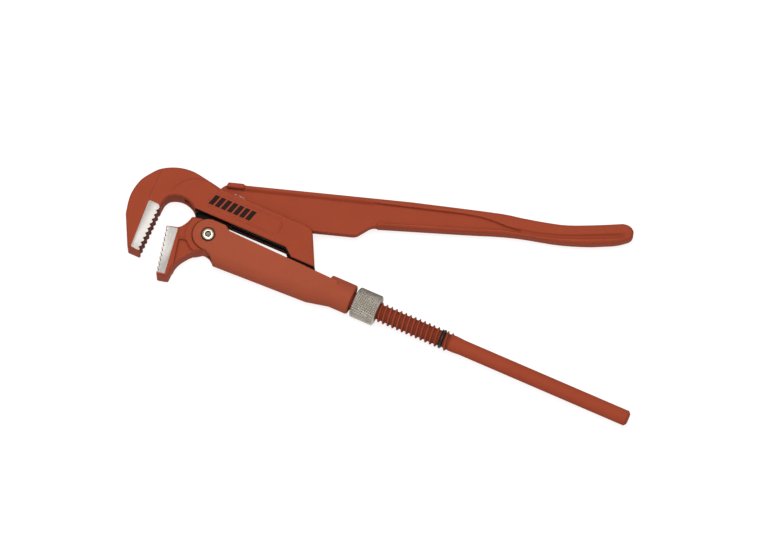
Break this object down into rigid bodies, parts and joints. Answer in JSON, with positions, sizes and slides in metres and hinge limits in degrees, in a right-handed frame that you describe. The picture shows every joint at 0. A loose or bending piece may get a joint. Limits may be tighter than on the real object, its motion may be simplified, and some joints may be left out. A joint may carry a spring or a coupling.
{
  "type": "pipe wrench",
  "caption": "Swedish-pattern pipe wrench with right-angled toothed jaws, a long pivoting handle and a knurled nut that moves its sleeve along a threaded leg.",
  "frame": {"origin": "bottom centre of the bounding box, with the wrench lying on its side", "axes": "+X along the threaded leg towards its free end, +Y from the leg towards the handle, +Z across the thickness of the forgings, up"},
  "size_m": [0.3198, 0.1406, 0.0188],
  "materials": {
    "painted_forging": "rust-red enamel, satin, on drop-forged steel; jaw cheeks ground bare",
    "knurled_steel": "fine diamond knurl, plated, satin",
    "bright_steel": "polished bright plate",
    "blackened_steel": "black oxide spring wire"
  },
  "bodies": {
    "upper_jaw": {"upper_jaw_and_leg": "painted_forging", "stop_ring": "blackened_steel"},
    "slide": {"sleeve": "painted_forging", "pivot_screw": "bright_steel", "pivot_nut": "bright_steel"},
    "lever": {"lower_jaw_and_handle": "painted_forging"},
    "nut": {"adjusting_nut": "knurled_steel"}
  },
  "joints": [
    {"name": "sleeve_slide", "type": "slide", "parent": "upper_jaw", "child": "slide", "axis": [1, 0, 0], "range_m": [-0.0073, 0.035]},
    {"name": "lever_pivot", "type": "hinge", "parent": "slide", "child": "lever", "pos_m": [-0.10804, -0.03631, 0.00925], "axis": [0, 0, 1], "range_deg": [-12, 4]},
    {"name": "nut_spin", "type": "hinge", "parent": "slide", "child": "nut", "pos_m": [-0.00674, -0.03631, 0.00925], "axis": [1, 0, 0], "range_deg": [-877, 4201]}
  ],
  "couplings": [
    {"joint": "nut_spin", "follows": "sleeve_slide", "rad_per_m": 2094.4}
  ]
}
